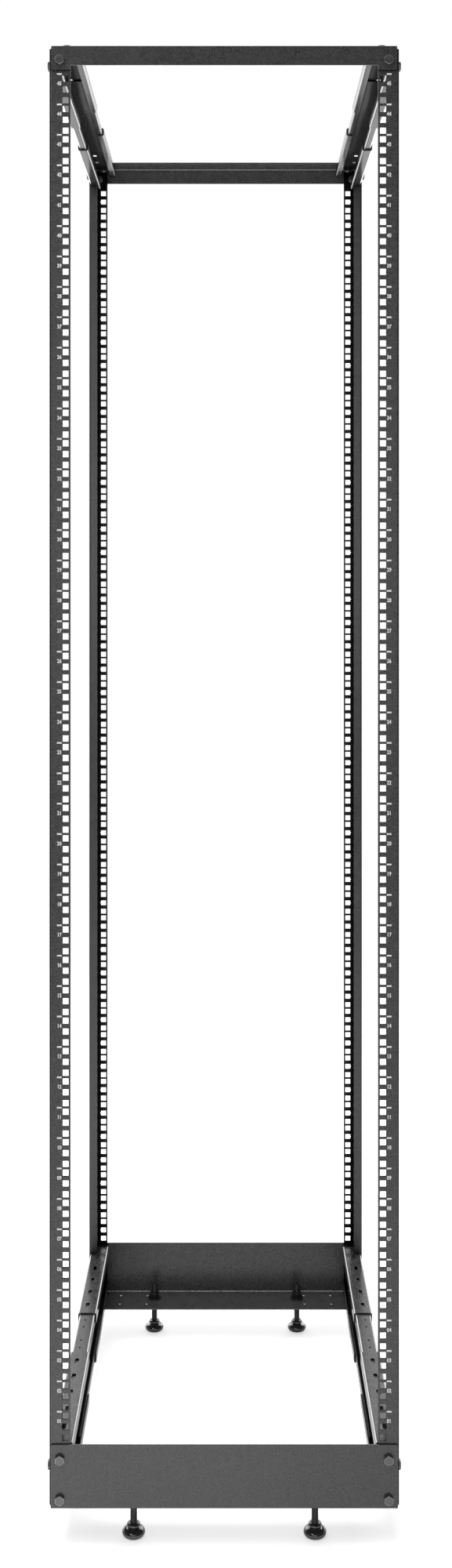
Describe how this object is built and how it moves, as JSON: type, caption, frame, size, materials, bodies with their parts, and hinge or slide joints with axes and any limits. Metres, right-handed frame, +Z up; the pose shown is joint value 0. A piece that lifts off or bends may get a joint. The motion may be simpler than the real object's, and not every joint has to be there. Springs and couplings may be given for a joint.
{
  "type": "four post open frame rack",
  "caption": "Tall open frame server rack with square hole posts, telescoping side rails and levelling feet.",
  "frame": {"origin": "on the floor, under the middle of the rack", "axes": "+Z up, +Y towards the rear of the rack, +X to the right seen from the front"},
  "size_m": [0.5226, 0.7246, 2.2009],
  "materials": {
    "frame_paint": "fine texture powder coat",
    "rail_paint": "fine texture powder coat",
    "fastener": "black zinc, satin",
    "foot_metal": "black zinc, satin",
    "foot_plastic": "glossy moulded",
    "marking_white": "screen print"
  },
  "bodies": {
    "front_frame": {"front_top_beam": "frame_paint", "front_base_plate": "frame_paint", "front_bolts": "fastener", "front_nuts": "fastener", "front_left_post": "frame_paint", "front_left_lower_rail": "rail_paint", "front_left_upper_rail": "rail_paint", "front_left_foot_nut": "foot_metal", "front_right_post": "frame_paint", "front_right_lower_rail": "rail_paint", "front_right_upper_rail": "rail_paint", "front_right_foot_nut": "foot_metal"},
    "rear_frame": {"rear_top_beam": "frame_paint", "rear_base_plate": "frame_paint", "rear_bolts": "fastener", "rear_nuts": "fastener", "rear_left_post": "frame_paint", "rear_left_lower_rail": "rail_paint", "rear_left_upper_rail": "rail_paint", "rear_left_foot_nut": "foot_metal", "rear_right_post": "frame_paint", "rear_right_lower_rail": "rail_paint", "rear_right_upper_rail": "rail_paint", "rear_right_foot_nut": "foot_metal"},
    "rail_sliders": {"left_lower_slider": "rail_paint", "left_upper_slider": "rail_paint", "right_lower_slider": "rail_paint", "right_upper_slider": "rail_paint"},
    "foot_front_left": {"front_left_foot_pad": "foot_plastic", "front_left_foot_stem": "foot_metal"},
    "foot_front_right": {"front_right_foot_pad": "foot_plastic", "front_right_foot_stem": "foot_metal"},
    "foot_rear_left": {"rear_left_foot_pad": "foot_plastic", "rear_left_foot_stem": "foot_metal"},
    "foot_rear_right": {"rear_right_foot_pad": "foot_plastic", "rear_right_foot_stem": "foot_metal"}
  },
  "joints": [
    {"name": "depth_slide", "type": "slide", "parent": "front_frame", "child": "rear_frame", "axis": [0, 1, 0], "range_m": [-0.13, 0.17]},
    {"name": "slider_follow", "type": "slide", "parent": "front_frame", "child": "rail_sliders", "axis": [0, 1, 0], "range_m": [-0.065, 0.085]},
    {"name": "front_left_foot_screw", "type": "slide", "parent": "front_frame", "child": "foot_front_left", "axis": [0, 0, 1], "range_m": [-0.014, 0.03]},
    {"name": "front_right_foot_screw", "type": "slide", "parent": "front_frame", "child": "foot_front_right", "axis": [0, 0, 1], "range_m": [-0.014, 0.03]},
    {"name": "rear_left_foot_screw", "type": "slide", "parent": "rear_frame", "child": "foot_rear_left", "axis": [0, 0, 1], "range_m": [-0.014, 0.03]},
    {"name": "rear_right_foot_screw", "type": "slide", "parent": "rear_frame", "child": "foot_rear_right", "axis": [0, 0, 1], "range_m": [-0.014, 0.03]}
  ],
  "couplings": [
    {"joint": "slider_follow", "follows": "depth_slide", "ratio": 0.5}
  ]
}
